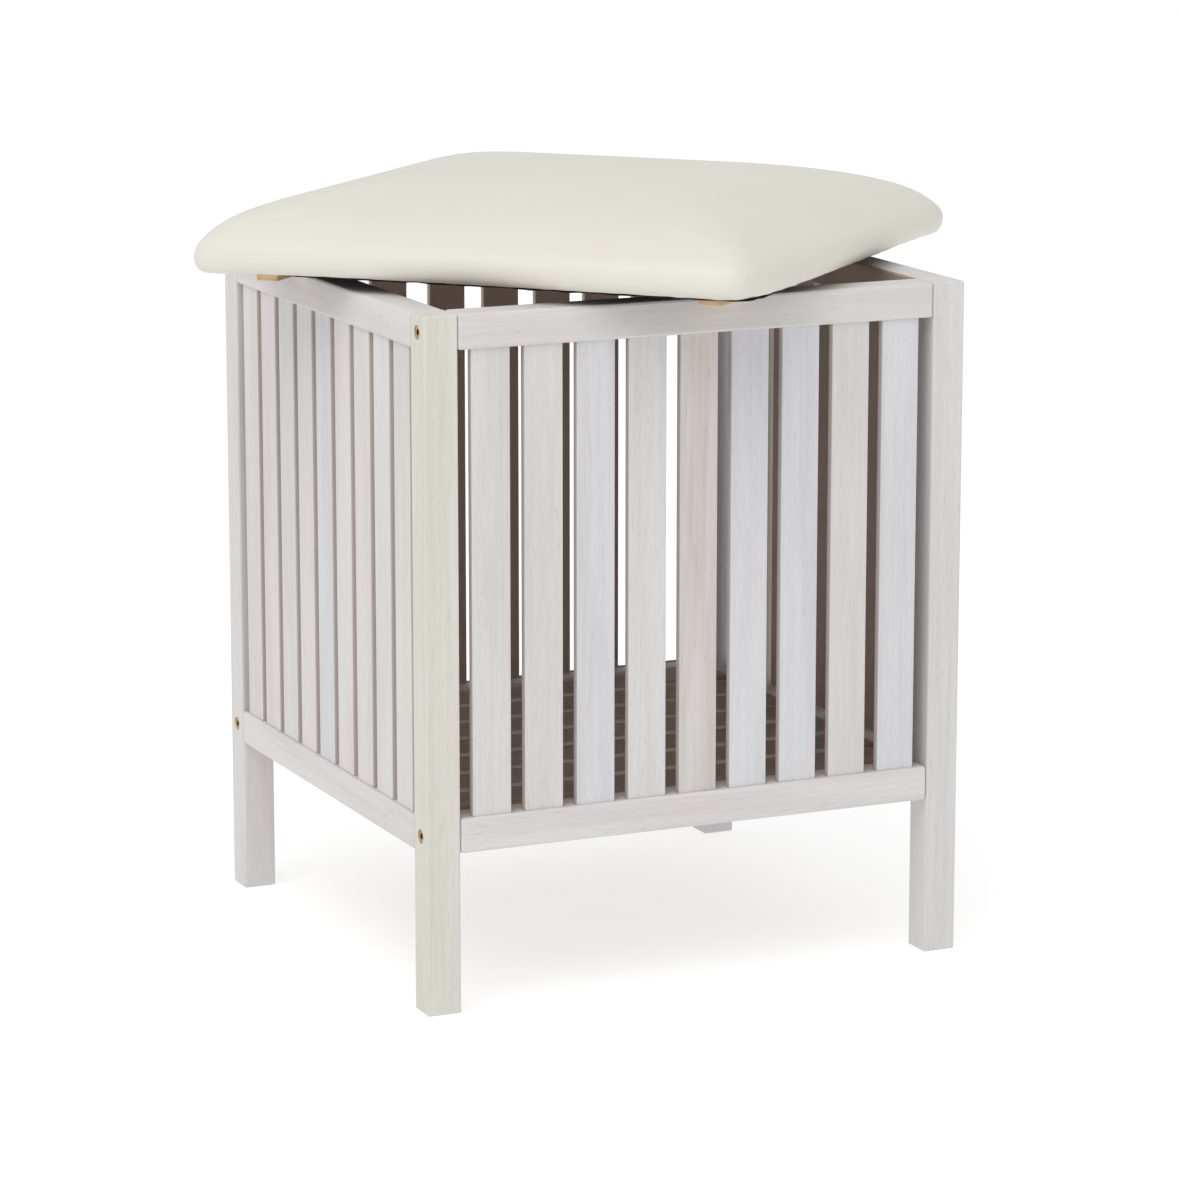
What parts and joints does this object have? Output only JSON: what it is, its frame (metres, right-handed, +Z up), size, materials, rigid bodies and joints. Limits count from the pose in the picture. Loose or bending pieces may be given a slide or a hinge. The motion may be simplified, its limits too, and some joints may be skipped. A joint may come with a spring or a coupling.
{
  "type": "storage stool",
  "caption": "Slatted wooden storage stool on four legs, with a loose padded lid that lifts off to reach the space inside.",
  "frame": {"origin": "on the floor, under the middle of the lid, 6 mm left of the middle of the box", "axes": "+Z is up, the front faces -Y, and +X is to the right of someone who faces the front"},
  "size_m": [0.5682, 0.569, 0.5435],
  "materials": {
    "limed_wood": "thin white limewash with the grain showing, matt",
    "pine": "planed, untreated",
    "plywood": "sanded, untreated",
    "brass": "brass-plated steel, slightly dulled",
    "steel": "bright zinc-plated",
    "leatherette": "cream leather-look fabric, matt with a fine grain",
    "nonwoven": "black non-woven lining",
    "foam": "open-cell upholstery foam"
  },
  "bodies": {
    "box": {"post_front_left": "limed_wood", "post_front_right": "limed_wood", "post_back_left": "limed_wood", "post_back_right": "limed_wood", "front_lower_rail": "limed_wood", "front_upper_rail": "limed_wood", "front_slat_1": "limed_wood", "front_slat_2": "limed_wood", "front_slat_3": "limed_wood", "front_slat_4": "limed_wood", "front_slat_5": "limed_wood", "front_slat_6": "limed_wood", "front_slat_7": "limed_wood", "front_slat_8": "limed_wood", "front_slat_9": "limed_wood", "left_lower_rail": "limed_wood", "left_upper_rail": "limed_wood", "left_slat_1": "limed_wood", "left_slat_2": "limed_wood", "left_slat_3": "limed_wood", "left_slat_4": "limed_wood", "left_slat_5": "limed_wood", "left_slat_6": "limed_wood", "left_slat_7": "limed_wood", "left_slat_8": "limed_wood", "left_slat_9": "limed_wood", "right_panel": "limed_wood", "back_panel": "limed_wood", "floor_slat_1": "limed_wood", "floor_slat_2": "limed_wood", "floor_slat_3": "limed_wood", "floor_slat_4": "limed_wood", "floor_slat_5": "limed_wood", "floor_slat_6": "limed_wood", "floor_slat_7": "limed_wood", "floor_bearer_left": "limed_wood", "floor_bearer_right": "limed_wood", "bolt_front_lower_left": "brass", "bolt_front_lower_right": "brass", "bolt_front_upper_left": "brass", "bolt_front_upper_right": "brass", "bolt_back_lower_left": "brass", "bolt_back_lower_right": "brass", "bolt_back_upper_left": "brass", "bolt_back_upper_right": "brass", "barrel_nut_front_lower_left": "steel", "barrel_nut_front_lower_right": "steel", "barrel_nut_front_upper_left": "steel", "barrel_nut_front_upper_right": "steel", "barrel_nut_back_lower_left": "steel", "barrel_nut_back_lower_right": "steel", "barrel_nut_back_upper_left": "steel", "barrel_nut_back_upper_right": "steel"},
    "lid": {"lid_batten_left": "pine", "lid_batten_right": "pine", "lid_lining": "nonwoven", "lid_cover": "leatherette", "lid_board": "plywood", "lid_foam": "foam"}
  },
  "joints": [
    {"name": "lid_lift", "type": "slide", "parent": "box", "child": "lid", "axis": [0, 0, 1], "range_m": [0, 0.2]}
  ]
}
